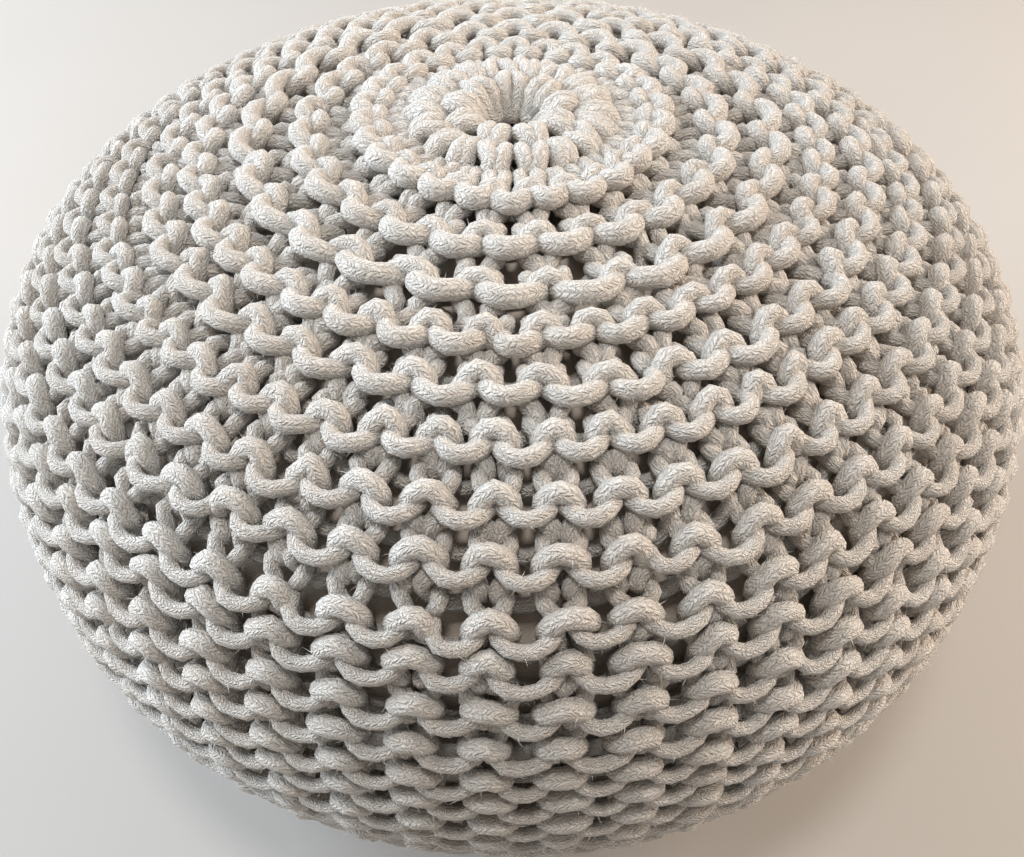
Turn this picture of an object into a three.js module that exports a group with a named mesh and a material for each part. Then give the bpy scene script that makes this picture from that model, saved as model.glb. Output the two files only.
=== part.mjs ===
// A round knitted pouf: a garter-stitch cover of thick cotton cord over a lined, filled insert.
// Millimetres, +Z up. The origin is the middle of the base, on the floor, and the front faces -Y.

import * as THREE from "three";

// Driving dimensions
const WIDEST_RADIUS = 250;
const WAIST_HEIGHT = 155; // floor to the widest level
const CROWN_RISE = 161.5; // widest level to the crown
const SHOULDER_POWER = 2.81; // roundness of the upper half, 2 is an ellipse
const FOOT_POWER = 2; // roundness of the lower half
const FOOT_DEPTH = 172.5; // depth the lower half would reach, had the floor not pressed it flat
const CORD = 8; // cord diameter
const VALLEY_DEPTH = 0.9 * CORD; // from the ridge crests down to the valleys
const COVER_THICKNESS = 2.5 * CORD; // crest to the back of the knitting
const BASE_THICKNESS = 1.75 * CORD; // the knitting pressed flat under the weight
const CLEARANCE = 0.3; // between the cover and the insert
const CREST_SWING = 0.55 * CORD; // how far a crest wanders up and down with the stitches
const CROWN_HOLE_RADIUS = 7;
const CROWN_HOLE_ROUNDING = 5;
const CROWN_GROOVE_DEPTH = 0.5 * CORD; // between the loops that radiate from the hole
const CROWN_LOOP_RADII = [20, 43]; // inner and outer round of those loops
const GAP_WIDTH_SHARE = 0.45; // of a stitch
const GAP_HEIGHT_SHARE = 0.4; // of the distance to the next ridge

// Rounds of ridges from the crown down. Spacing runs evenly from first to last within a row.
// The lowest row is out of sight, and has one wave of its crests for every two stitches.
const FIRST_RIDGE = 63; // along the surface from the crown
const RIDGE_ROUNDS = [
  { ridges: 3, stitches: 26, turnDegrees: 0, firstSpacing: 27, lastSpacing: 22.7, gaps: true },
  { ridges: 2, stitches: 42, turnDegrees: 0, firstSpacing: 21.2, lastSpacing: 20.5, gaps: true },
  { ridges: 1, stitches: 56, turnDegrees: 1.2, firstSpacing: 22.8, lastSpacing: 22.8, gaps: true },
  { ridges: 2, stitches: 56, turnDegrees: 1.2, firstSpacing: 21.4, lastSpacing: 20.1, gaps: false },
  { ridges: 6, stitches: 56, turnDegrees: 1.2, firstSpacing: 18.6, lastSpacing: 17.3, gaps: false },
  { ridges: 13, stitches: 28, turnDegrees: 1.2, firstSpacing: 17.2, lastSpacing: 17.2, gaps: false },
];
const MERIDIAN_STEPS = 720;
const FULL_TURN = 2 * Math.PI;

// The outer shape's section, from the crown down to where it meets the floor: two quarter
// superellipses that share the waist, with the distance along the surface at each point.
function outerMeridian() {
  const points = [];
  let along = 0;
  for (let step = 0; step <= MERIDIAN_STEPS; step++) {
    const angle = Math.PI * (0.5 - step / MERIDIAN_STEPS);
    const upper = angle >= 0;
    const power = upper ? SHOULDER_POWER : FOOT_POWER;
    const depth = upper ? CROWN_RISE : FOOT_DEPTH;
    const across = Math.abs(Math.cos(angle) / WIDEST_RADIUS) ** power;
    const reach = (across + Math.abs(Math.sin(angle) / depth) ** power) ** (-1 / power);
    const point = { radius: reach * Math.cos(angle), height: WAIST_HEIGHT + reach * Math.sin(angle) };
    if (point.height < 0) break;
    const last = points.at(-1) ?? point;
    along += Math.hypot(point.radius - last.radius, point.height - last.height);
    points.push({ ...point, along });
  }
  return points;
}

const MERIDIAN = outerMeridian();
const FLOOR_EDGE = MERIDIAN.at(-1);

// The place on the section at a distance along the surface, sunk by depth along its normal.
function sectionAt(along, depth) {
  const found = MERIDIAN.findIndex((point) => point.along >= along);
  const next = Math.max(1, found < 0 ? MERIDIAN.length - 1 : found);
  const a = MERIDIAN[next - 1];
  const b = MERIDIAN[next];
  const length = b.along - a.along;
  const share = (along - a.along) / length;
  const slope = { radius: (b.radius - a.radius) / length, height: (b.height - a.height) / length };
  return {
    radius: a.radius + share * (b.radius - a.radius) + depth * slope.height,
    height: a.height + share * (b.height - a.height) - depth * slope.radius,
  };
}

// One row for each ridge: where it lies, how many stitches it has and how far the next ridge is.
function ridgeRows() {
  const rows = [];
  let along = FIRST_RIDGE;
  for (const round of RIDGE_ROUNDS) {
    for (let i = 0; i < round.ridges; i++) {
      const share = round.ridges > 1 ? i / (round.ridges - 1) : 0;
      const spacing = THREE.MathUtils.lerp(round.firstSpacing, round.lastSpacing, share);
      const turn = THREE.MathUtils.degToRad(round.turnDegrees);
      rows.push({ along, spacing, stitches: round.stitches, turn, gaps: round.gaps });
      along += spacing;
    }
  }
  return rows;
}

const RIDGES = ridgeRows();

// A closed surface made of rings of points, joined one after the other.
// Going from the crown down the faces point away from the axis, and going up they point at it.
class RingSurface {
  points = [];
  faces = [];

  // Angles rise round the axis. Place gives radius and height for each point's index.
  ring(angles, place) {
    return angles.map((angle, i) => {
      const { radius, height } = place(i);
      this.points.push(radius * Math.sin(angle), -radius * Math.cos(angle), height);
      return { index: this.points.length / 3 - 1, angle };
    });
  }

  tip(height) {
    this.points.push(0, 0, height);
    return this.points.length / 3 - 1;
  }

  face(a, b, c) {
    this.faces.push(a, b, c);
  }

  // Joins two rings of any two counts by stepping along whichever one lags behind.
  join(first, second) {
    const count = [first.length, second.length];
    const at = (ring, i) => ring[i % ring.length];
    const turnOf = (ring, i) => at(ring, i).angle + FULL_TURN * Math.floor(i / ring.length);
    const away = (i) => Math.abs(Math.sin((second[i].angle - first[0].angle) / 2));
    const start = second.map((_, i) => i).reduce((best, i) => (away(i) < away(best) ? i : best), 0);
    const back = FULL_TURN * Math.round((second[start].angle - first[0].angle) / FULL_TURN);
    let i = 0;
    let j = 0;
    while (i < count[0] || j < count[1]) {
      const here = at(first, i);
      const there = at(second, start + j);
      const firstReach = turnOf(first, i + 1) - (turnOf(second, start + j) - back);
      const secondReach = turnOf(second, start + j + 1) - back - turnOf(first, i);
      const stepFirst = j >= count[1] || (i < count[0] && firstReach <= secondReach);
      if (stepFirst) {
        this.face(here.index, there.index, at(first, i + 1).index);
        i++;
      } else {
        this.face(here.index, there.index, at(second, start + j + 1).index);
        j++;
      }
    }
  }

  // Joins two rings of paired points, leaving the space within each pair open.
  joinBetweenPairs(first, second) {
    for (let i = 1; i < first.length; i += 2) {
      const next = (i + 1) % first.length;
      this.face(first[i].index, second[i].index, first[next].index);
      this.face(first[next].index, second[i].index, second[next].index);
    }
  }

  // Lines the openings that the outer and the inner pairs of rings leave.
  lineOpenings(outerTop, outerBottom, innerTop, innerBottom) {
    for (let i = 0; i < outerTop.length; i += 2) {
      const outer = [outerTop[i], outerBottom[i], outerBottom[i + 1], outerTop[i + 1]];
      const inner = [innerTop[i], innerBottom[i], innerBottom[i + 1], innerTop[i + 1]];
      outer.forEach((a, k) => {
        const next = (k + 1) % outer.length;
        this.face(a.index, outer[next].index, inner[next].index);
        this.face(a.index, inner[next].index, inner[k].index);
      });
    }
  }

  closeAtEnd(ring, tip) {
    ring.forEach((a, i) => this.face(a.index, tip, ring[(i + 1) % ring.length].index));
  }

  closeAtStart(tip, ring) {
    ring.forEach((a, i) => this.face(tip, a.index, ring[(i + 1) % ring.length].index));
  }

  geometry() {
    const geometry = new THREE.BufferGeometry();
    geometry.setAttribute("position", new THREE.Float32BufferAttribute(this.points, 3));
    geometry.setIndex(this.faces);
    geometry.computeVertexNormals();
    return geometry;
  }
}

function evenAngles(count, turn) {
  return Array.from({ length: count }, (_, i) => turn + (FULL_TURN * i) / count);
}

// Two angles for each stitch, the left and right side of the gap under its loop.
function gapAngles(ridge) {
  const half = (GAP_WIDTH_SHARE * Math.PI) / ridge.stitches;
  return evenAngles(ridge.stitches, ridge.turn).flatMap((middle) => [middle - half, middle + half]);
}

function gapEdges(ridge) {
  const middle = ridge.along + ridge.spacing / 2;
  const half = (GAP_HEIGHT_SHARE * ridge.spacing) / 2;
  return [middle - half, middle + half];
}

// A ridge's crest: the loops hang a little below its line, and the strands between rise above it.
function crestRing(surface, ridge) {
  const angles = evenAngles(2 * ridge.stitches, ridge.turn);
  const swing = (i) => (i % 2 ? -CREST_SWING : CREST_SWING);
  return surface.ring(angles, (i) => sectionAt(ridge.along + swing(i), 0));
}

// The crown's outer face: fat loops radiate from the rounded rim of the hole in two rounds.
function crownRings(surface) {
  const { stitches, turn, along } = RIDGES[0];
  const rim = surface.ring(evenAngles(stitches, turn), () => ({
    radius: CROWN_HOLE_RADIUS,
    height: sectionAt(CROWN_HOLE_RADIUS, CROWN_HOLE_ROUNDING).height,
  }));
  const loops = CROWN_LOOP_RADII.map((radius) =>
    surface.ring(evenAngles(2 * stitches, turn), (i) => sectionAt(radius, (i % 2) * CROWN_GROOVE_DEPTH)),
  );
  const valley = surface.ring(evenAngles(stitches, turn), () =>
    sectionAt((CROWN_LOOP_RADII.at(-1) + along) / 2, VALLEY_DEPTH),
  );
  return [rim, ...loops, valley];
}

// Rings on the back of the knitting, from the crown down: two for each valley with gaps, and one for
// every second ridge below those. The last lies on the pressed base.
function backRings(surface, depth, baseHeight) {
  const gapped = RIDGES.filter((ridge) => ridge.gaps);
  const plain = RIDGES.filter((ridge, i) => !ridge.gaps && i % 2);
  const rings = gapped.flatMap((ridge) =>
    gapEdges(ridge).map((along) => surface.ring(gapAngles(ridge), () => sectionAt(along, depth))),
  );
  const lowest = RIDGES.at(-1);
  const angles = evenAngles(lowest.stitches, lowest.turn);
  let radius = 0;
  for (const ridge of plain) {
    const place = sectionAt(ridge.along, depth);
    if (place.height < baseHeight + CORD) break;
    rings.push(surface.ring(angles, () => place));
    radius = place.radius;
  }
  rings.push(surface.ring(angles, () => ({ radius: radius - CORD, height: baseHeight })));
  return rings;
}

function knitCover() {
  const surface = new RingSurface();
  const [rim, ...crown] = crownRings(surface);
  let previous = rim;
  const follow = (ring) => {
    surface.join(previous, ring);
    previous = ring;
  };
  crown.forEach(follow);

  const outerGaps = [];
  for (const ridge of RIDGES) {
    follow(crestRing(surface, ridge));
    if (ridge.gaps) {
      const [top, bottom] = gapEdges(ridge).map((along) =>
        surface.ring(gapAngles(ridge), () => sectionAt(along, VALLEY_DEPTH)),
      );
      follow(top);
      surface.joinBetweenPairs(top, bottom);
      outerGaps.push([top, bottom]);
      previous = bottom;
    } else if (ridge !== RIDGES.at(-1)) {
      const angles = evenAngles(ridge.stitches, ridge.turn);
      follow(surface.ring(angles, () => sectionAt(ridge.along + ridge.spacing / 2, VALLEY_DEPTH)));
    }
  }
  const lowest = RIDGES.at(-1);
  follow(surface.ring(evenAngles(lowest.stitches, lowest.turn), () => FLOOR_EDGE));
  surface.closeAtEnd(previous, surface.tip(0));

  const back = backRings(surface, COVER_THICKNESS, BASE_THICKNESS).reverse();
  surface.closeAtStart(surface.tip(BASE_THICKNESS), back[0]);
  const gappedFrom = back.length - 2 * outerGaps.length;
  previous = back[0];
  for (let i = 1; i < back.length; i++) {
    const acrossGaps = i > gappedFrom && (i - gappedFrom) % 2 === 1;
    if (acrossGaps) surface.joinBetweenPairs(previous, back[i]);
    else surface.join(previous, back[i]);
    previous = back[i];
  }
  outerGaps.forEach(([top, bottom], k) => {
    const innerTop = back[back.length - 1 - 2 * k];
    const innerBottom = back[back.length - 2 - 2 * k];
    surface.lineOpenings(top, bottom, innerTop, innerBottom);
  });
  const { stitches, turn } = RIDGES[0];
  const innerRim = surface.ring(evenAngles(stitches, turn), () => ({
    radius: CROWN_HOLE_RADIUS,
    height: sectionAt(CROWN_HOLE_RADIUS, COVER_THICKNESS).height,
  }));
  surface.join(previous, innerRim);
  surface.join(innerRim, rim);
  return surface.geometry();
}

// The insert fills the cover, and its lining shows through the gaps.
function filledInsert() {
  const surface = new RingSurface();
  const rings = backRings(surface, COVER_THICKNESS + CLEARANCE, BASE_THICKNESS + CLEARANCE);
  surface.closeAtStart(surface.tip(sectionAt(0, COVER_THICKNESS + CLEARANCE).height), rings[0]);
  for (let i = 1; i < rings.length; i++) surface.join(rings[i - 1], rings[i]);
  surface.closeAtEnd(rings.at(-1), surface.tip(BASE_THICKNESS + CLEARANCE));
  return surface.geometry();
}

const CREAM_COTTON = new THREE.MeshStandardMaterial({ color: 0xe6dccb, roughness: 0.9, metalness: 0 });
const LINING_CLOTH = new THREE.MeshStandardMaterial({ color: 0xc9beb0, roughness: 0.85, metalness: 0 });

function namedMesh(name, geometry, material) {
  const mesh = new THREE.Mesh(geometry, material);
  mesh.name = name;
  return mesh;
}

const pouf = new THREE.Group();
pouf.add(namedMesh("knit_cover", knitCover(), CREAM_COTTON));
pouf.add(namedMesh("filled_insert", filledInsert(), LINING_CLOTH));

export default pouf;
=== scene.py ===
import math

import bpy
import numpy as np
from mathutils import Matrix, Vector, kdtree


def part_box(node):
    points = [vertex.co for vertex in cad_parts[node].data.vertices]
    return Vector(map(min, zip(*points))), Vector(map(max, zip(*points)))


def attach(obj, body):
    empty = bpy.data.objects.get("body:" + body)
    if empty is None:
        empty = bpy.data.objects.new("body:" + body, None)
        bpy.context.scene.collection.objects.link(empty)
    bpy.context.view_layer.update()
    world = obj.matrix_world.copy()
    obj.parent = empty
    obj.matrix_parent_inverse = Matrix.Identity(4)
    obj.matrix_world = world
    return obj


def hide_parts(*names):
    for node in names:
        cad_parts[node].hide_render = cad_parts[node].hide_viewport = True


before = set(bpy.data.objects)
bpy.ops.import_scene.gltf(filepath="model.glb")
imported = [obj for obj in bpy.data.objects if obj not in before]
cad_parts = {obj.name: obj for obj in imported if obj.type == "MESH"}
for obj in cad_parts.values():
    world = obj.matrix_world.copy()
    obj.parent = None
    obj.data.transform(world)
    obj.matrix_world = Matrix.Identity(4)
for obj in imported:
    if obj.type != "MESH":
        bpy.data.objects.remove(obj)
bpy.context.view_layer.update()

# Sizes in metres. The origin is the middle of the base, and the front faces -Y
COVER_LOW, COVER_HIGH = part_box("knit_cover")
WIDEST_RADIUS = (COVER_HIGH.y - COVER_LOW.y) / 2
WAIST_HEIGHT = 0.155
CROWN_RISE = COVER_HIGH.z - WAIST_HEIGHT
SHOULDER_POWER = 2.81
FOOT_POWER = 2.0
FOOT_DEPTH = 0.1725
CROWN_DOME = 0.005
CROWN_DOME_RADIUS = 0.110
FLOOR_EDGE_ROUNDING = 0.024
CORD = 0.0073
COVER_THICKNESS = 0.020
LINING_CLEARANCE = 0.0006
TAU = 2 * math.pi

# Ridges from the crown to the base's middle. Spacing runs evenly from first to last within a row
FIRST_RIDGE = 0.0630
RIDGE_ROUNDS = [
    dict(ridges=3, stitches=26, turn_degrees=0.0, first_spacing=0.0270, last_spacing=0.0227),
    dict(ridges=2, stitches=42, turn_degrees=0.0, first_spacing=0.0212, last_spacing=0.0205),
    dict(ridges=1, stitches=56, turn_degrees=1.2, first_spacing=0.0228, last_spacing=0.0228),
    dict(ridges=2, stitches=56, turn_degrees=1.2, first_spacing=0.0214, last_spacing=0.0201),
    dict(ridges=6, stitches=56, turn_degrees=1.2, first_spacing=0.0186, last_spacing=0.0173),
    dict(ridges=10, stitches=56, turn_degrees=1.2, first_spacing=0.0172, last_spacing=0.0172),
    dict(ridges=3, stitches=42, turn_degrees=0.0, first_spacing=0.0172, last_spacing=0.0172),
    dict(ridges=3, stitches=26, turn_degrees=0.0, first_spacing=0.0172, last_spacing=0.0172),
]

# Rounds inside the first ridge, and the same under the base: stitches, and the radius of their joins.
# Their legs bulge out, and the innermost is gathered down into the hole
MIDDLE_ROUNDS = [9, 18]
MIDDLE_JOINS = [0.0188, 0.0326, 0.0470]
GATHER_REACH = 1.25
MIDDLE_BULGE = 0.65

# Half a stitch, from the middle of the strand between two loops to the middle of the loop's head.
# Side is a share of a stitch from the loop's middle. Drop and lift are in cords, drop from the join
# towards the base's middle, and lift from the middle of the knitting to the side where the join lies
HALF_STITCH = [
    dict(at="base", side=0.5, drop=-0.84, lift=0.8),
    dict(at="base", side=0.385, drop=-0.72, lift=0.78),
    dict(at="base", side=0.285, drop=-0.32, lift=0.54),
    dict(at="base", side=0.245, drop=0.08, lift=0.04),
    dict(at="base", side=0.245, drop=0.46, lift=-0.18),
    dict(at="head", side=0.4, drop=-0.62, lift=-0.18),
    dict(at="head", side=0.385, drop=-0.26, lift=0.24),
    dict(at="head", side=0.33, drop=0.1, lift=0.62),
    dict(at="head", side=0.24, drop=0.42, lift=0.82),
    dict(at="head", side=0.13, drop=0.62, lift=0.86),
    dict(at="head", side=0.0, drop=0.68, lift=0.86),
]
HEAD_LEAN = 0.07
SHARED_HEAD_SPREAD = 0.75
NODES_PER_STITCH = 20

# Unevenness of the hand. Turns are shares of a stitch, places along the section are in metres, and size is
# a share of the stitch's own. A drift is slow, and a spread differs from stitch to stitch
HAND_SEED = 11
TURN_DRIFT = 0.04
TURN_SPREAD = 0.04
ALONG_DRIFT = 0.0009
ALONG_SPREAD = 0.0006
SIZE_SPREAD = 0.085
DRIFT_WAVES = 4

# Bands of the cover, each one mesh: the last ridge in it, points to a stitch and sides of the cord
BANDS = [
    dict(name="knit_crown", last_ridge=5, points=20, sides=12),
    dict(name="knit_shoulder", last_ridge=9, points=20, sides=10),
    dict(name="knit_upper_side", last_ridge=13, points=20, sides=10),
    dict(name="knit_middle", last_ridge=17, points=18, sides=9),
    dict(name="knit_lower_side", last_ridge=24, points=12, sides=6),
    dict(name="knit_base", last_ridge=30, points=10, sides=6),
]


class Value:
    """An output in a node tree. Arithmetic on it adds Math nodes."""

    def __init__(self, graph, socket):
        self.graph = graph
        self.socket = socket

    def math(self, operation, *others):
        inputs = dict(enumerate((self, *others)))
        return self.graph.add("ShaderNodeMath", {"operation": operation}, inputs)

    def other(self, name):
        return Value(self.graph, self.socket.node.outputs[name])

    def __add__(self, other):
        return self.math("ADD", other)

    def __radd__(self, other):
        return self.math("ADD", other)

    def __sub__(self, other):
        return self.math("SUBTRACT", other)

    def __rsub__(self, other):
        return self.graph.add("ShaderNodeMath", {"operation": "SUBTRACT"}, {0: other, 1: self})

    def __mul__(self, other):
        return self.math("MULTIPLY", other)

    def __rmul__(self, other):
        return self.math("MULTIPLY", other)

    def __truediv__(self, other):
        return self.math("DIVIDE", other)

    def __pow__(self, other):
        return self.math("POWER", other)


class Graph:
    """A node tree that is built by adding nodes."""

    def __init__(self, tree):
        self.tree = tree

    def add(self, kind, settings=None, sockets=None, out=0):
        node = self.tree.nodes.new(kind)
        for name, value in (settings or {}).items():
            setattr(node, name, value)
        for key, value in (sockets or {}).items():
            if isinstance(value, Value):
                self.tree.links.new(value.socket, node.inputs[key])
            else:
                node.inputs[key].default_value = value
        return Value(self, node.outputs[out]) if len(node.outputs) else None

    def mix(self, share, first, second):
        settings = {"data_type": "RGBA"}
        return self.add("ShaderNodeMix", settings, {0: share, 6: first, 7: second}, out=2)

    def ramp(self, value, low, high):
        sockets = {"Value": value, "From Min": low, "From Max": high}
        return self.add("ShaderNodeMapRange", {"interpolation_type": "SMOOTHSTEP"}, sockets)

    def vector(self, x, y, z):
        return self.add("ShaderNodeCombineXYZ", {}, {0: x, 1: y, 2: z})

    def noise(self, vector, scale, detail=2.0):
        sockets = {"Vector": vector, "Scale": scale, "Detail": detail}
        return self.add("ShaderNodeTexNoise", {}, sockets)


def new_material(name):
    material = bpy.data.materials.new(name)
    material.use_nodes = True
    material.node_tree.nodes.clear()
    return material


def finish_surface(shade, sockets):
    surface = shade.add("ShaderNodeBsdfPrincipled", {}, sockets)
    shade.add("ShaderNodeOutputMaterial", {}, {"Surface": surface})


def cloth_surface(shade, colour, roughness, normal, sheen):
    sockets = {"Base Color": colour, "Roughness": roughness, "Normal": normal}
    sockets |= {"Sheen Weight": sheen, "Sheen Roughness": 0.5, "Specular IOR Level": 0.2}
    finish_surface(shade, sockets)


def new_object(name, data):
    holder = bpy.data.objects.new(name, data)
    bpy.context.scene.collection.objects.link(holder)
    return holder


# The braid: chevrons round the cord, their step along it, the steps that an arm slants, and its depth
BRAID_COLUMNS = 6
BRAID_STEP = 0.0019
BRAID_SLANT = 1.0
BRAID_DEPTH = 0.0010

# Noise scales, in waves a metre
DRIFT_SCALE = 190.0
UNEVEN_SCALE = 430.0
TUFT_SCALE = 950.0
FLUFF_SCALE = 2600.0
BLOTCH_SCALE = 26.0
LOOSE_SCALE = 300.0

CORD_LIGHT = (0.84, 0.81, 0.765, 1)
CORD_WARM = (0.79, 0.74, 0.68, 1)
# Painted shade: the darker colour laid into the braid's grooves
CORD_GROOVE_SHADE = (0.56, 0.49, 0.42, 1)


def braided_cotton():
    """Soft cotton cord, braided in chevrons that run along it."""
    material = new_material("braided_cotton")
    shade = Graph(material.node_tree)
    around = shade.add("ShaderNodeAttribute", {"attribute_name": "cord_side"}, out="Vector")
    along = shade.add("ShaderNodeAttribute", {"attribute_name": "cord_length"}, out="Fac")
    across = shade.add("ShaderNodeSeparateXYZ", {}, {0: around})
    turn = across.other("Y").math("ARCTAN2", across) / TAU
    fold = (turn * BRAID_COLUMNS).math("FRACT") - 0.5
    arm = fold.math("ABSOLUTE") * 2
    stagger = fold.math("GREATER_THAN", 0.0) * 0.5
    place = shade.add("ShaderNodeTexCoord", out="Object")
    drift = shade.noise(place, DRIFT_SCALE, 1.0)
    uneven = shade.noise(place, UNEVEN_SCALE, 0.0)
    phase = along / BRAID_STEP + arm * BRAID_SLANT + stagger + drift * 2.2 + uneven
    strand = (phase * math.pi).math("SINE").math("ABSOLUTE")
    plait = strand ** 0.8 * (0.3 + 0.7 * (arm * math.pi).math("SINE"))
    fibre = shade.noise(shade.vector(phase * 6, turn * BRAID_COLUMNS * 1.8, along * 120), 1.0, 1.0)
    tuft = shade.noise(place, TUFT_SCALE, 1.0)
    fluff = shade.noise(place, FLUFF_SCALE, 0.0)
    blotch = shade.noise(place, BLOTCH_SCALE, 1.0)
    height = plait * 0.95 + fibre * 0.5 + tuft * 0.8 + fluff * 0.8 + uneven * 0.6
    bump = {"Strength": 1.0, "Distance": BRAID_DEPTH, "Height": height}
    normal = shade.add("ShaderNodeBump", {}, bump)
    # The cord's own tone, light and warm in random blotches, before the painted shade
    unshaded_tone = shade.mix(shade.ramp(blotch, 0.38, 0.66), CORD_LIGHT, CORD_WARM)
    # Painted shade: the cord is darkened where its bump height is low, in the grooves between the braid's
    # strands and the dips of the fibre and tuft noise
    groove_shade = shade.ramp(plait * 0.5 + fibre * 0.3 + tuft * 0.45, 0.66, 0.28) * 0.75
    colour = shade.mix(groove_shade, unshaded_tone, CORD_GROOVE_SHADE)
    cloth_surface(shade, colour, 0.82 + 0.14 * fluff, normal, 0.3)
    return material


def loose_cotton():
    """Fine fibres that stand off the cord."""
    material = new_material("loose_cotton")
    shade = Graph(material.node_tree)
    place = shade.add("ShaderNodeTexCoord", out="Object")
    share = shade.ramp(shade.noise(place, LOOSE_SCALE, 1.0), 0.4, 0.6)
    colour = shade.mix(share, CORD_LIGHT, CORD_WARM)
    finish_surface(shade, {"Base Color": colour, "Roughness": 0.9})
    return material


LINING_LIGHT = (0.64, 0.56, 0.485, 1)
LINING_DARK = (0.56, 0.49, 0.42, 1)
WEAVE_THREAD = 0.0007
WEAVE_DEPTH = 0.0002
SLUB_SCALE = 700.0
STAIN_SCALE = 30.0


def plain_lining():
    """Plain woven cotton of the insert."""
    material = new_material("plain_lining")
    shade = Graph(material.node_tree)
    cloth = shade.add("ShaderNodeAttribute", {"attribute_name": "cloth_place"}, out="Vector")
    parts = shade.add("ShaderNodeSeparateXYZ", {}, {0: cloth})
    warp = (parts * (math.pi / WEAVE_THREAD)).math("SINE")
    weft = (parts.other("Y") * (math.pi / WEAVE_THREAD)).math("SINE")
    weave = (warp * weft) * 0.5 + 0.5
    place = shade.add("ShaderNodeTexCoord", out="Object")
    slub = shade.noise(place, SLUB_SCALE, 2.0)
    blotch = shade.noise(place, STAIN_SCALE, 2.0)
    bump = {"Strength": 0.6, "Distance": WEAVE_DEPTH, "Height": weave + slub * 0.4}
    normal = shade.add("ShaderNodeBump", {}, bump)
    colour = shade.mix(shade.ramp(blotch + weave * 0.25, 0.4, 0.8), LINING_DARK, LINING_LIGHT)
    cloth_surface(shade, colour, 0.8 + 0.1 * slub, normal, 0.15)
    return material


SECTION_STEP = 0.0005
SECTION_ANGLES = 4000


class Section:
    """The pouf's outer section, from the crown over the side and along the floor to the base's middle."""

    def __init__(self):
        angle = np.linspace(math.pi / 2, -math.pi / 2, SECTION_ANGLES)
        upper = angle >= 0
        power = np.where(upper, SHOULDER_POWER, FOOT_POWER)
        depth = np.where(upper, CROWN_RISE, FOOT_DEPTH)
        wide = (np.cos(angle).clip(0) / WIDEST_RADIUS) ** power
        reach = (wide + np.abs(np.sin(angle) / depth) ** power) ** (-1 / power)
        side = np.stack([reach * np.cos(angle), WAIST_HEIGHT + reach * np.sin(angle)], axis=1)
        side = side[side[:, 1] > 0]
        middle = np.cos(math.pi * (side[:, 0] / CROWN_DOME_RADIUS).clip(0, 1))
        side[:, 1] += np.where(side[:, 1] > WAIST_HEIGHT, CROWN_DOME * (1 + middle) / 2, 0)
        floor = np.array([[side[-1, 0], 0.0], [0.0, 0.0]])
        self.set_points(np.concatenate([side, floor]))
        self.round_edges(int(FLOOR_EDGE_ROUNDING / SECTION_STEP))

    def set_points(self, points):
        steps = np.linalg.norm(np.diff(points, axis=0), axis=1)
        along = np.concatenate([[0.0], np.cumsum(steps)])
        self.along = np.arange(0.0, along[-1], SECTION_STEP)
        self.points = np.stack([np.interp(self.along, along, p) for p in points.T], axis=1)
        slope = np.gradient(self.points, SECTION_STEP, axis=0)
        slope /= np.linalg.norm(slope, axis=1, keepdims=True)
        self.normals = np.stack([-slope[:, 1], slope[:, 0]], axis=1)

    def round_edges(self, width):
        mirror = np.array([-1.0, 1.0])
        start = self.points[width:0:-1] * mirror
        end = self.points[-2:-width - 2:-1] * mirror
        padded = np.concatenate([start, self.points, end])
        kernel = np.hanning(width)
        kernel /= kernel.sum()
        smooth = np.stack([np.convolve(p, kernel, "same") for p in padded.T], axis=1)
        self.set_points(smooth[width:-width])

    @property
    def length(self):
        return self.along[-1]

    def place(self, along, lift):
        """Radius and height at a distance along the section, lifted off it."""
        at = [np.interp(along, self.along, p) for p in (*self.points.T, *self.normals.T)]
        return at[0] + lift * at[2], at[1] + lift * at[3]

    def point(self, turn, along, lift):
        radius, height = self.place(along, lift)
        return np.stack([radius * np.sin(turn), -radius * np.cos(turn), height], axis=-1)

    def outward(self, turn, along):
        radius, height = (np.interp(along, self.along, p) for p in self.normals.T)
        return np.stack([radius * np.sin(turn), -radius * np.cos(turn), height], axis=-1)


def ridge_rows():
    rows = []
    along = FIRST_RIDGE
    for each in RIDGE_ROUNDS:
        for i in range(each["ridges"]):
            share = i / max(1, each["ridges"] - 1)
            spacing = each["first_spacing"] + share * (each["last_spacing"] - each["first_spacing"])
            turn = math.radians(each["turn_degrees"])
            rows.append(dict(along=along, spacing=spacing, stitches=each["stitches"], turn=turn))
            along += spacing
    return rows


def knit_rounds(section):
    """Every round of knitting from the crown to the base's middle: its stitches, the joins at its two
    edges, and the ridge that it belongs to. A join's side is 1 on the face and -1 at the back."""
    ridges = ridge_rows()
    back = dict(side=-1, reach=1.0)
    face = dict(side=1, reach=1.0)
    gather = dict(side=-1, reach=GATHER_REACH)
    gathered, *others = MIDDLE_JOINS
    joins = [dict(along=gathered, **gather)] + [dict(along=each, **back) for each in others]
    counts = [(stitches, 0.0, 0, MIDDLE_BULGE) for stitches in MIDDLE_ROUNDS]
    counts.append((ridges[0]["stitches"], ridges[0]["turn"], 1, MIDDLE_BULGE / 2))
    for number, ridge in enumerate(ridges, 1):
        joins.append(dict(along=ridge["along"], **face))
        counts.append((ridge["stitches"], ridge["turn"], number, 0.0))
        if number < len(ridges):
            joins.append(dict(along=ridge["along"] + ridge["spacing"] / 2, **back))
            below = ridges[number]
            counts.append((below["stitches"], below["turn"], number + 1, 0.0))
    joins += [dict(along=section.length - each, **back) for each in others[::-1]]
    joins.append(dict(along=section.length - gathered, **gather))
    counts += [(stitches, 0.0, len(ridges), MIDDLE_BULGE) for stitches in MIDDLE_ROUNDS[::-1]]
    keys = ("stitches", "turn", "ridge", "bulge")
    return [dict(zip(keys, c), base=b, head=h) for c, b, h in zip(counts, joins, joins[1:])]


def nearest_turn(turn):
    return (turn + math.pi) % TAU - math.pi


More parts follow.
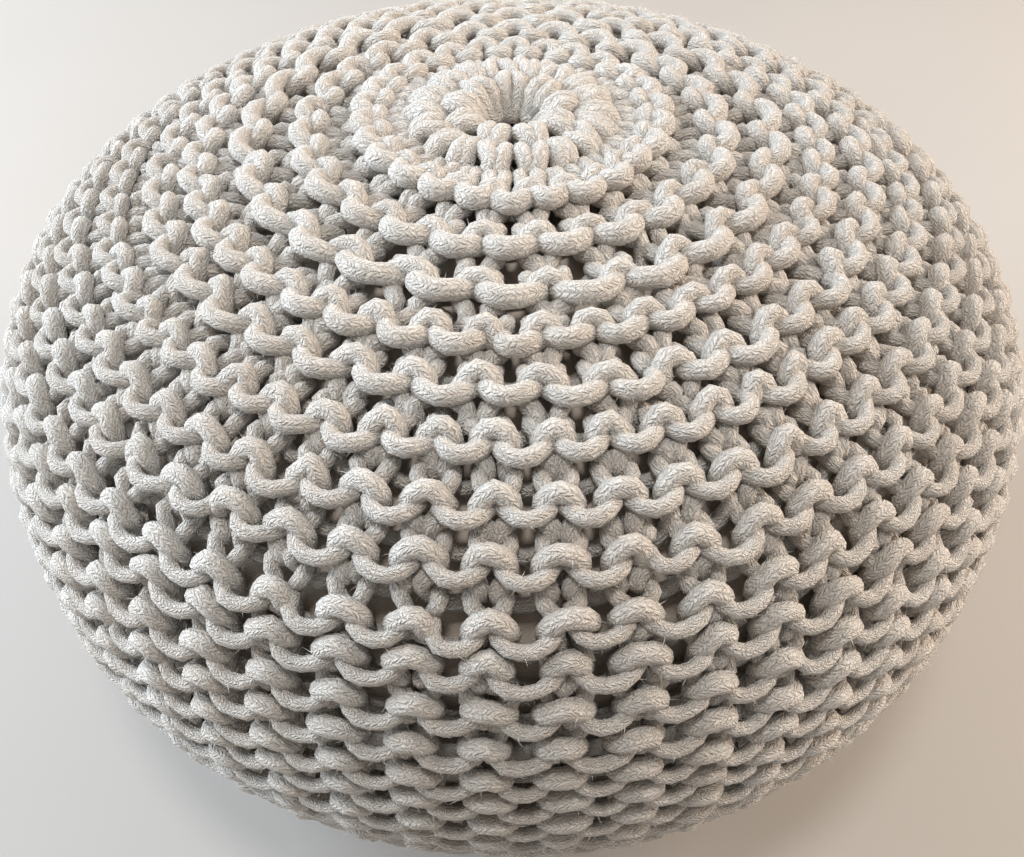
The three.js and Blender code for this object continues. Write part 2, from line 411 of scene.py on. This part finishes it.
def wander(rng, turns, size):
    """A slow uneven drift round the pouf."""
    drift = np.zeros_like(turns)
    for wave in range(1, DRIFT_WAVES + 1):
        drift += rng.normal() * np.sin(wave * turns + rng.uniform(0, TAU)) / math.sqrt(wave)
    return size * drift


def drawn_through(heads, loops):
    """For each new loop, the head it comes out of, and its turn, side by side with others there."""
    gap = np.abs(nearest_turn(loops[:, None] - heads[None, :]))
    parent = gap.argmin(axis=1)
    return parent, loops + (1 - SHARED_HEAD_SPREAD) * nearest_turn(heads[parent] - loops)


CURVE_STEPS = 6


def smooth_loop(points, count):
    """Evenly spaced points on a closed smooth curve through the given ones."""
    share = (np.arange(CURVE_STEPS) / CURVE_STEPS)[None, :, None]
    a, b, c, d = (np.roll(points, k, axis=0)[:, None, :] for k in (1, 0, -1, -2))
    curve = b + 0.5 * share * (c - a + share * (2 * a - 5 * b + 4 * c - d
                                                + share * (3 * (b - c) + d - a)))
    curve = curve.reshape(-1, points.shape[1])
    return evenly(curve, count, np.ones(len(curve)))


def evenly(curve, count, weight):
    """Points along a closed curve, closer together where the weight is greater."""
    steps = np.linalg.norm(np.roll(curve, -1, axis=0)[:, :3] - curve[:, :3], axis=1)
    along = np.concatenate([[0.0], np.cumsum(steps * weight)])
    closed = np.concatenate([curve, curve[:1]])
    wanted = np.arange(count) * along[-1] / count
    return np.stack([np.interp(wanted, along, column) for column in closed.T], axis=1)


def lay_round(rng, section, row, last):
    """Centre line of one round's cord, before it settles."""
    count = row["stitches"]
    pitch = TAU / count
    even = row["turn"] + pitch * np.arange(count)
    head_turn = even + wander(rng, even, TURN_DRIFT * pitch)
    head_turn = head_turn + rng.normal(0, TURN_SPREAD, count) * pitch
    head_along = row["head"]["along"] + wander(rng, even, ALONG_DRIFT)
    head_along = head_along + rng.normal(0, ALONG_SPREAD, count)
    if last is None:
        parent, base_turn = np.arange(count), even
        base_along = np.full(count, row["base"]["along"])
    else:
        parent, base_turn = drawn_through(last["head_turn"], head_turn)
        base_along = last["head_along"][parent]
    turns, alongs, lifts = [], [], []
    plump = 1 + rng.normal(0, SIZE_SPREAD, count)
    mirrored = [(step, 1) for step in HALF_STITCH[-2:0:-1]]
    for step, hand in [(step, -1) for step in HALF_STITCH] + mirrored:
        join = row[step["at"]]
        middle, along = (base_turn, base_along) if step["at"] == "base" else (head_turn, head_along)
        lean = HEAD_LEAN * max(0, step["drop"]) if step["at"] == "head" else 0
        turns.append(middle + (hand * step["side"] * plump - lean) * pitch)
        alongs.append(along + step["drop"] * CORD * plump)
        lift = step["lift"] * join["side"] * join["reach"] + row["bulge"] * (1 - abs(step["lift"]))
        lifts.append(np.full(count, lift * CORD))
    turns[0] = base_turn - nearest_turn(base_turn - np.roll(base_turn, 1)) / 2
    columns = [np.stack(each, axis=1).ravel() for each in (turns, alongs, lifts)]
    lift = columns[2] - COVER_THICKNESS / 2
    points = section.point(columns[0], columns[1], lift)
    surface = section.point(columns[0], columns[1], np.full_like(lift, -COVER_THICKNESS / 2))
    outward = section.outward(columns[0], columns[1])
    laid = smooth_loop(np.concatenate([points, surface, outward], axis=1), count * NODES_PER_STITCH)
    return dict(line=laid, head_turn=head_turn, head_along=head_along)


SETTLE_STEPS = 50
SMOOTHING = 0.03
LENGTH_HOLD = 0.35
CONTACT = 0.50 * CORD
CONTACT_PUSH = 0.28
PLACE_HOLD = 0.03
CONTACT_REACH = 1.5 * CORD
NEAR_ALONG = 5
TINY = 1e-6


def contact_pairs(points, loop_of, index_in, loop_size):
    """Pairs of points that lie close together, but not next to each other along one cord."""
    tree = kdtree.KDTree(len(points))
    for i, point in enumerate(points):
        tree.insert(point, i)
    tree.balance()
    found = [(i, j) for i, point in enumerate(points)
             for _, j, _ in tree.find_range(point, CONTACT_REACH) if j > i]
    a, b = np.array(found).T
    apart = np.abs(index_in[a] - index_in[b])
    apart = np.minimum(apart, loop_size[a] - apart)
    keep = (loop_of[a] != loop_of[b]) | (apart > NEAR_ALONG)
    return a[keep], b[keep]


def settle(lines):
    """Lets the laid cords push each other apart and pull smooth, while they keep their length."""
    sizes = np.array([len(line) for line in lines])
    starts = np.concatenate([[0], np.cumsum(sizes)[:-1]])
    loop_of = np.repeat(np.arange(len(lines)), sizes)
    index_in = np.arange(sizes.sum()) - starts[loop_of]
    loop_size = sizes[loop_of]
    following = starts[loop_of] + (index_in + 1) % loop_size
    before = starts[loop_of] + (index_in - 1) % loop_size
    laid = np.concatenate(lines)
    points, surface, outward = laid[:, :3].copy(), laid[:, 3:6], laid[:, 6:9]
    outward = outward / np.linalg.norm(outward, axis=1, keepdims=True)
    anchor = points.copy()
    highest = COVER_THICKNESS / 2 - CORD / 2
    lowest = np.minimum(-highest, ((anchor - surface) * outward).sum(axis=1))
    rest = np.linalg.norm(points[following] - points, axis=1)
    rest = 0.5 * rest + 0.5 * np.array([r.mean() for r in np.split(rest, starts[1:])])[loop_of]
    a, b = contact_pairs(points, loop_of, index_in, loop_size)
    for _ in range(SETTLE_STEPS):
        points += SMOOTHING * ((points[before] + points[following]) / 2 - points)
        step = points[following] - points
        size = np.linalg.norm(step, axis=1, keepdims=True)
        pull = step * (LENGTH_HOLD * (1 - rest[:, None] / size.clip(TINY)))
        points += pull - pull[before]
        apart = points[a] - points[b]
        gap = np.linalg.norm(apart, axis=1)
        push = apart * (CONTACT_PUSH * (CONTACT / gap.clip(TINY) - 1).clip(0))[:, None]
        for axis in range(3):
            points[:, axis] += np.bincount(a, push[:, axis], len(points))
            points[:, axis] -= np.bincount(b, push[:, axis], len(points))
        points += PLACE_HOLD * (anchor - points)
        lift = ((points - surface) * outward).sum(axis=1)
        points += outward * (lift.clip(lowest, highest) - lift)[:, None]
        points[:, 2] = points[:, 2].clip(CORD / 2)
    return np.split(points, starts[1:])


BEND_WEIGHT = 0.6
FINE_STEPS = 4


def cord_path(points, row, per_stitch):
    """A round's settled line as a closed path, closer set in its bends. It starts on the inside."""
    stitches = len(points) // NODES_PER_STITCH
    fine = smooth_loop(points, len(points) * FINE_STEPS)
    centre = fine[:, :3]
    bend = np.roll(centre, -1, axis=0) + np.roll(centre, 1, axis=0) - 2 * centre
    step = np.linalg.norm(np.roll(centre, -1, axis=0) - centre, axis=1)
    curved = np.linalg.norm(bend, axis=1) / step.clip(TINY) ** 2
    weight = 1 + BEND_WEIGHT * CORD * curved
    path = evenly(fine, stitches * per_stitch, weight)
    inside = 0 if row["base"]["side"] < 0 else per_stitch // 2
    return np.roll(path, -(inside + per_stitch * (stitches // 2)), axis=0)


# Thickness of the cord as a share of its usual one: on the face it is drawn thin at the loops' heads
# from the seventh ridge down, and swells between the loops
HEAD_RIDGES = [0, 3, 7, 10]
HEAD_SWELL = [1.30, 1.24, 0.86, 0.76]
BETWEEN_SWELL = 1.12
BACK_SWELL = 0.84
MIDDLE_SWELL = 1.20

# The cord's own lumps, in metres
LUMP_SIZE = 0.0050
LUMP_HEIGHT = 0.0018


def with_swell(points, row):
    """Adds the cord's thickness to a settled line."""
    between = BETWEEN_SWELL if row["base"]["side"] > 0 else BACK_SWELL
    head = np.interp(row["ridge"], HEAD_RIDGES, HEAD_SWELL) if row["head"]["side"] > 0 else BACK_SWELL
    if row["ridge"] == 0:
        between = head = MIDDLE_SWELL
    share = np.arange(len(points)) / NODES_PER_STITCH
    swell = (between + head) / 2 + (between - head) / 2 * np.cos(TAU * share)
    return np.c_[points, swell]


def cord_tree(material):
    """Sweeps a round cord along each path, and keeps the place round and along the cord for its finish."""
    tree = bpy.data.node_groups.new("sweep_cord", "GeometryNodeTree")
    face = tree.interface
    face.new_socket("Geometry", in_out="INPUT", socket_type="NodeSocketGeometry")
    face.new_socket("Cord Radius", in_out="INPUT", socket_type="NodeSocketFloat")
    face.new_socket("Sides", in_out="INPUT", socket_type="NodeSocketInt")
    face.new_socket("Geometry", in_out="OUTPUT", socket_type="NodeSocketGeometry")
    make = Graph(tree)
    given = make.add("NodeGroupInput")
    length = make.add("GeometryNodeSplineParameter", out="Length")
    paths = make.add(
        "GeometryNodeStoreNamedAttribute",
        {"data_type": "FLOAT", "domain": "POINT"},
        {"Geometry": given, "Name": "cord_length", "Value": length},
    )
    circle = make.add(
        "GeometryNodeCurvePrimitiveCircle",
        {"mode": "RADIUS"},
        {"Resolution": given.other("Sides"), "Radius": given.other("Cord Radius")},
    )
    place = make.add("GeometryNodeInputPosition")
    around = make.add("ShaderNodeVectorMath", {"operation": "NORMALIZE"}, {0: place})
    profile = make.add(
        "GeometryNodeStoreNamedAttribute",
        {"data_type": "FLOAT_VECTOR", "domain": "POINT"},
        {"Geometry": circle, "Name": "cord_side", "Value": around},
    )
    swell = make.add("GeometryNodeInputRadius")
    sockets = {"Curve": paths, "Profile Curve": profile, "Scale": swell}
    swept = make.add("GeometryNodeCurveToMesh", {}, sockets)
    lump = (make.noise(place, 1 / LUMP_SIZE, 1.0) - 0.5) * LUMP_HEIGHT
    normal = make.add("GeometryNodeInputNormal")
    shift = make.add("ShaderNodeVectorMath", {"operation": "SCALE"}, {0: normal, "Scale": lump})
    uneven = make.add("GeometryNodeSetPosition", {}, {"Geometry": swept, "Offset": shift})
    smooth = make.add("GeometryNodeSetShadeSmooth", {}, {"Geometry": uneven})
    single = make.add("GeometryNodeRealizeInstances", {}, {"Geometry": smooth})
    finished = make.add("GeometryNodeSetMaterial", {}, {"Geometry": single, "Material": material})
    make.add("NodeGroupOutput", {}, {"Geometry": finished})
    return tree


# Loose fibres on the first bands: lean in radians, how many a square metre, and sizes in metres
FIBRE_BANDS = 4
FIBRE_LEAN = 1.3
FIBRE_DENSITY = 26000
FIBRE_LENGTH = 0.0032
FIBRE_RADIUS = 0.00011
SHORTEST_FIBRE = 0.5
LONGEST_FIBRE = 1.2


def fibre_tree(material):
    """Sets thin fibres at random on the cord, on the side that faces out, each leaning its own way."""
    tree = bpy.data.node_groups.new("set_fibres", "GeometryNodeTree")
    face = tree.interface
    face.new_socket("Geometry", in_out="INPUT", socket_type="NodeSocketGeometry")
    face.new_socket("Density", in_out="INPUT", socket_type="NodeSocketFloat")
    face.new_socket("Fibre Length", in_out="INPUT", socket_type="NodeSocketFloat")
    face.new_socket("Fibre Radius", in_out="INPUT", socket_type="NodeSocketFloat")
    face.new_socket("Seed", in_out="INPUT", socket_type="NodeSocketInt")
    face.new_socket("Geometry", in_out="OUTPUT", socket_type="NodeSocketGeometry")
    make = Graph(tree)
    given = make.add("NodeGroupInput")
    place = make.add("GeometryNodeInputPosition")
    normal = make.add("GeometryNodeInputNormal")
    middle = (0.0, 0.0, WAIST_HEIGHT)
    outward = make.add("ShaderNodeVectorMath", {"operation": "SUBTRACT"}, {0: place, 1: middle})
    outward = make.add("ShaderNodeVectorMath", {"operation": "NORMALIZE"}, {0: outward})
    sockets = {0: outward, 1: normal}
    facing = make.add("ShaderNodeVectorMath", {"operation": "DOT_PRODUCT"}, sockets, out="Value")
    density = make.ramp(facing, 0.0, 0.5) * given.other("Density")
    sockets = {"Mesh": given, "Density": density, "Seed": given.other("Seed")}
    points = make.add("GeometryNodeDistributePointsOnFaces", {"distribute_method": "RANDOM"}, sockets)
    fibre = make.add(
        "GeometryNodeMeshCone",
        {"fill_type": "NGON"},
        {
            "Vertices": 3,
            "Side Segments": 1,
            "Radius Top": 0.0,
            "Radius Bottom": given.other("Fibre Radius"),
            "Depth": given.other("Fibre Length"),
        },
    )
    least, most = (-FIBRE_LEAN, -FIBRE_LEAN, 0.0), (FIBRE_LEAN, FIBRE_LEAN, TAU)
    sockets = {0: least, 1: most, "Seed": given.other("Seed")}
    lean = make.add("FunctionNodeRandomValue", {"data_type": "FLOAT_VECTOR"}, sockets)
    lean = make.add("FunctionNodeEulerToRotation", {}, {0: lean})
    sockets = {"Rotation": points.other("Rotation"), "Rotate By": lean}
    turned = make.add("FunctionNodeRotateRotation", {"rotation_space": "LOCAL"}, sockets)
    sockets = {2: SHORTEST_FIBRE, 3: LONGEST_FIBRE, "Seed": given.other("Seed")}
    size = make.add("FunctionNodeRandomValue", {"data_type": "FLOAT"}, sockets, out=1)
    sockets = {"Points": points, "Instance": fibre, "Rotation": turned, "Scale": size}
    placed = make.add("GeometryNodeInstanceOnPoints", {}, sockets)
    single = make.add("GeometryNodeRealizeInstances", {}, {"Geometry": placed})
    finished = make.add("GeometryNodeSetMaterial", {}, {"Geometry": single, "Material": material})
    make.add("NodeGroupOutput", {}, {"Geometry": finished})
    return tree


def made_by(tree, name, data, settings):
    """Runs the tree on a curve or mesh, and returns the result as a plain mesh object."""
    source = new_object(name + "_source", data)
    modifier = source.modifiers.new("make", "NODES")
    modifier.node_group = tree
    for item in tree.interface.items_tree:
        if item.in_out == "INPUT" and item.name in settings:
            modifier[item.identifier] = settings[item.name]
    graph = bpy.context.evaluated_depsgraph_get()
    mesh = bpy.data.meshes.new_from_object(source.evaluated_get(graph), depsgraph=graph)
    source.modifiers.remove(modifier)
    bpy.data.objects.remove(source)
    mesh.name = name
    return new_object(name, mesh)


def swept_mesh(name, tree, paths, settings):
    """Runs the tree on the paths, and returns the result as a plain mesh object."""
    curve = bpy.data.curves.new(name + "_paths", "CURVE")
    curve.dimensions = "3D"
    for path in paths:
        spline = curve.splines.new("POLY")
        spline.points.add(len(path) - 1)
        spline.points.foreach_set("co", np.c_[path[:, :3], np.ones(len(path))].ravel())
        spline.points.foreach_set("radius", path[:, 3])
        spline.use_cyclic_u = True
    piece = made_by(tree, name, curve, settings)
    bpy.data.curves.remove(curve)
    return piece


def ride_as_cover(piece):
    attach(piece, "root")
    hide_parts("knit_cover")


def knitted_cover(section, material):
    rng = np.random.default_rng(HAND_SEED)
    rows = knit_rounds(section)
    lines, last = [], None
    for row in rows:
        last = lay_round(rng, section, row, last)
        lines.append(last["line"])
    settled = settle(lines)
    tree = cord_tree(material)
    pieces, first_ridge = [], 0
    for band in BANDS:
        members = [i for i, row in enumerate(rows) if first_ridge <= row["ridge"] <= band["last_ridge"]]
        first_ridge = band["last_ridge"] + 1
        paths = [cord_path(with_swell(settled[i], rows[i]), rows[i], band["points"]) for i in members]
        settings = {"Cord Radius": CORD / 2, "Sides": band["sides"]}
        piece = swept_mesh(band["name"], tree, paths, settings)
        ride_as_cover(piece)
        pieces.append(piece)
    return pieces


def loose_fibres(bands, material):
    tree = fibre_tree(material)
    settings = {"Density": FIBRE_DENSITY, "Fibre Length": FIBRE_LENGTH, "Fibre Radius": FIBRE_RADIUS}
    for seed, band in enumerate(bands):
        piece = made_by(tree, band.name + "_fibres", band.data, settings | {"Seed": seed})
        ride_as_cover(piece)


LINING_COLUMNS = 140
LINING_ROWS = 90
LINING_SWELL = 0.0012
LINING_TWIST = 40


def lined_insert(section, material):
    """The filled inner cushion, seen through the knitting."""
    rng = np.random.default_rng(HAND_SEED + 1)
    depth = COVER_THICKNESS + LINING_CLEARANCE
    turns = TAU * np.arange(LINING_COLUMNS) / LINING_COLUMNS
    alongs = np.linspace(0, section.length, LINING_ROWS + 2)[1:-1]
    twist = LINING_TWIST * alongs[:, None]
    swell = sum(wander(rng, turns[None, :] + k * twist, LINING_SWELL / 3) for k in (1, -1))
    grid = section.point(turns[None, :], alongs[:, None], np.minimum(swell, 0) - depth)
    low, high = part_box("filled_insert")
    grid[..., 2] = grid[..., 2].clip(low.z, high.z)
    points = np.concatenate([grid.reshape(-1, 3), [[0, 0, high.z], [0, 0, low.z]]])
    faces = []
    for row in range(LINING_ROWS - 1):
        for column in range(LINING_COLUMNS):
            beside = (column + 1) % LINING_COLUMNS
            a, b = row * LINING_COLUMNS, (row + 1) * LINING_COLUMNS
            faces.append((a + column, b + column, b + beside, a + beside))
    crown, foot = LINING_ROWS * LINING_COLUMNS, LINING_ROWS * LINING_COLUMNS + 1
    lowest = (LINING_ROWS - 1) * LINING_COLUMNS
    for column in range(LINING_COLUMNS):
        beside = (column + 1) % LINING_COLUMNS
        faces.append((crown, column, beside))
        faces.append((lowest + column, foot, lowest + beside))
    mesh = bpy.data.meshes.new("lined_insert")
    mesh.from_pydata(points.tolist(), [], faces)
    place = mesh.attributes.new("cloth_place", "FLOAT_VECTOR", "POINT")
    cloth = np.zeros_like(points)
    cloth[:-2, 0] = np.tile(turns * WIDEST_RADIUS, LINING_ROWS)
    cloth[:-2, 1] = np.repeat(alongs, LINING_COLUMNS)
    place.data.foreach_set("vector", cloth.ravel())
    mesh.shade_smooth()
    mesh.materials.append(material)
    piece = new_object("lined_insert", mesh)
    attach(piece, "root")
    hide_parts("filled_insert")


FLOOR_SIZE = 12.0
FLOOR_DARK = (0.42, 0.40, 0.378, 1)
FLOOR_LIGHT = (0.46, 0.438, 0.414, 1)
CLOUD_SCALE = 3.0


def pale_floor():
    material = new_material("pale_floor")
    shade = Graph(material.node_tree)
    place = shade.add("ShaderNodeTexCoord", out="Object")
    cloud = shade.noise(place, CLOUD_SCALE, 3.0)
    colour = shade.mix(cloud, FLOOR_DARK, FLOOR_LIGHT)
    finish_surface(shade, {"Base Color": colour, "Roughness": 0.7})
    half = FLOOR_SIZE / 2
    mesh = bpy.data.meshes.new("floor")
    corners = [(-half, -half, 0), (half, -half, 0), (half, half, 0), (-half, half, 0)]
    mesh.from_pydata(corners, [], [(0, 1, 2, 3)])
    mesh.materials.append(material)
    floor = new_object("floor", mesh)


# Soft studio lights: where each stands, its size, power in watts and colour
LIGHTS = [
    dict(name="window_left", at=(-2.2, 0.5, 1.15), size=2.2, power=132, colour=(0.82, 0.91, 1.0)),
    dict(name="overhead", at=(-0.05, -0.45, 2.3), size=0.4, power=17, colour=(1.0, 0.97, 0.93)),
    dict(name="warm_right", at=(2.2, 0.4, 1.15), size=1.8, power=76, colour=(1.0, 0.83, 0.68)),
]
AMBIENT = 0.31
AMBIENT_COLOUR = (1.0, 0.93, 0.86, 1)


def studio_light():
    aim = Vector((0, 0, WAIST_HEIGHT))
    for each in LIGHTS:
        lamp = bpy.data.lights.new(each["name"], "AREA")
        lamp.shape = "DISK"
        lamp.size = each["size"]
        lamp.energy = each["power"]
        lamp.color = each["colour"]
        holder = new_object(each["name"], lamp)
        holder.location = each["at"]
        holder.rotation_euler = (aim - holder.location).to_track_quat("-Z", "Y").to_euler()
    world = bpy.data.worlds.new("studio")
    world.use_nodes = True
    bpy.context.scene.view_settings.view_transform = "Standard"
    background = world.node_tree.nodes["Background"]
    background.inputs["Color"].default_value = AMBIENT_COLOUR
    background.inputs["Strength"].default_value = AMBIENT
    bpy.context.scene.world = world


# The camera stands in front and above, aimed a little below the middle of the widest level
CAMERA_DISTANCE = 0.561
CAMERA_RISE_DEGREES = 42.96
CAMERA_PITCH_DEGREES = 45.60
CAMERA_LENS_MM = 36.16


def photo_camera():
    rise = math.radians(CAMERA_RISE_DEGREES)
    lens = bpy.data.cameras.new("camera")
    lens.lens = CAMERA_LENS_MM
    camera = new_object("camera", lens)
    height = WAIST_HEIGHT + CAMERA_DISTANCE * math.sin(rise)
    camera.location = (0, -CAMERA_DISTANCE * math.cos(rise), height)
    camera.rotation_euler = (math.radians(90 - CAMERA_PITCH_DEGREES), 0, 0)
    bpy.context.scene.camera = camera


photo_camera()
pouf_section = Section()
cover_bands = knitted_cover(pouf_section, braided_cotton())
loose_fibres(cover_bands[:FIBRE_BANDS], loose_cotton())
lined_insert(pouf_section, plain_lining())
pale_floor()
studio_light()
